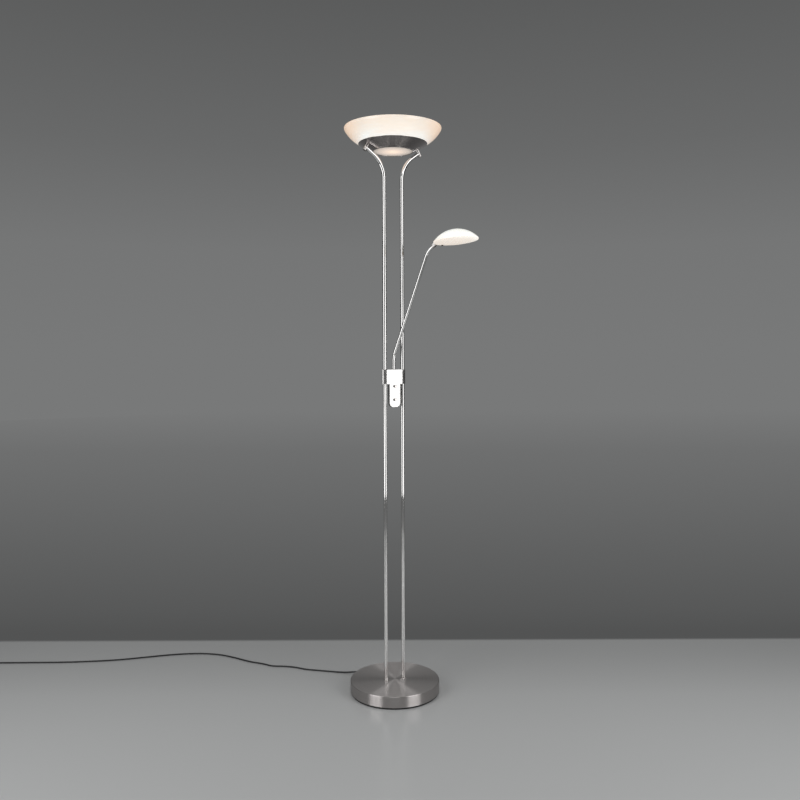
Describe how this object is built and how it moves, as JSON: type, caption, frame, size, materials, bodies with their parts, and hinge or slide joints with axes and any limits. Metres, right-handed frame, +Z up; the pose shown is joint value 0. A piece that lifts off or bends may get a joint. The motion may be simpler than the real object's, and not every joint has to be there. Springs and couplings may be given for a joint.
{
  "type": "torchiere floor lamp with reading light",
  "caption": "Floor lamp: opal glass uplight bowl on twin stems and a weighted round base, with two dimmer knobs and a swivelling arm with a tilting glass reading light.",
  "frame": {"origin": "centre of the base's underside, on the floor", "axes": "+Z up along the stems, +X through the two stems, -Y towards the lamp's front with the two knobs"},
  "size_m": [1.4336, 1.2202, 1.8001],
  "materials": {
    "brushed_nickel": "satin brushed nickel plating",
    "thread_steel": "plain zinc-plated steel",
    "nickel_aluminium": "satin nickel finish on aluminium",
    "plain_aluminium": "plain mill finish",
    "cast_iron": "raw casting with a thin black coat",
    "black_sheet": "thin black paint",
    "foot_rubber": "matt black",
    "black_plastic": "fine matt grain",
    "cord_black": "satin black sheath",
    "white_plastic": "matt",
    "white_lead": "smooth white insulation",
    "brass": "turned",
    "circuit_board": "white solder mask with yellow chips",
    "opal_lens": "opal, lit from behind",
    "opal_glass": "opal white, satin inside, lit warm",
    "silicone": "translucent white"
  },
  "bodies": {
    "lamp": {"base_cover": "brushed_nickel", "base_weight": "cast_iron", "base_pad": "foot_rubber", "bottom_plate": "black_sheet", "plate_posts": "thread_steel", "bottom_plate_screws": "thread_steel", "terminal_block": "white_plastic", "cable_gland": "black_plastic", "power_cord": "cord_black", "cord_coil": "cord_black", "power_plug": "black_plastic", "stem_lower_right": "brushed_nickel", "stem_lower_left": "brushed_nickel", "stem_upper_right": "brushed_nickel", "stem_upper_left": "brushed_nickel", "stem_couplers": "brass", "foot_studs": "thread_steel", "foot_nuts": "thread_steel", "foot_collars": "brushed_nickel", "barrel_right": "brushed_nickel", "barrel_left": "brushed_nickel", "barrel_nipples": "brass", "nipple_nuts": "brass", "head_ring": "nickel_aluminium", "bottom_lens": "opal_lens", "lens_retainer": "plain_aluminium", "led_carrier": "plain_aluminium", "glow_led_board": "circuit_board", "glass_bowl": "opal_glass", "bowl_gasket": "silicone", "heat_sink": "plain_aluminium", "uplight_led_board": "circuit_board", "led_cover": "white_plastic", "housing_body": "nickel_aluminium", "housing_cap": "nickel_aluminium", "clamp_screws": "thread_steel", "arm_bush": "black_plastic", "thrust_washer": "black_plastic", "dimmer_cover": "nickel_aluminium", "dimmer_back_plate": "nickel_aluminium", "dimmer_pots": "plain_aluminium", "dimmer_board": "circuit_board", "back_plate_screws": "thread_steel", "inner_leads": "white_lead"},
    "knob_upper": {"knob_upper": "brushed_nickel"},
    "knob_lower": {"knob_lower": "brushed_nickel"},
    "arm": {"reading_arm": "brushed_nickel", "reading_lead": "white_lead", "arm_foot": "brass", "arm_fork": "nickel_aluminium", "hinge_pin": "thread_steel"},
    "head": {"reading_shade": "opal_glass", "reading_bezel": "white_plastic", "reading_diffuser": "opal_lens", "reading_heat_sink": "plain_aluminium", "reading_led_boards": "circuit_board", "reading_bracket": "nickel_aluminium", "bracket_screws": "thread_steel", "dish_screw": "black_sheet"}
  },
  "joints": [
    {"name": "knob_upper_turn", "type": "hinge", "parent": "lamp", "child": "knob_upper", "pos_m": [0, -0.0092, 0.9935], "axis": [0, -1, 0], "range_deg": [-135, 135]},
    {"name": "knob_lower_turn", "type": "hinge", "parent": "lamp", "child": "knob_lower", "pos_m": [0, -0.0092, 0.951], "axis": [0, -1, 0], "range_deg": [-135, 135]},
    {"name": "arm_swivel", "type": "hinge", "parent": "lamp", "child": "arm", "pos_m": [0, 0, 1.047], "axis": [0, 0, -1], "range_deg": [-37, 93]},
    {"name": "head_tilt", "type": "hinge", "parent": "arm", "child": "head", "pos_m": [0.07256, -0.13647, 1.42865], "axis": [-0.8829, -0.4695, 0], "range_deg": [-50, 40]}
  ]
}
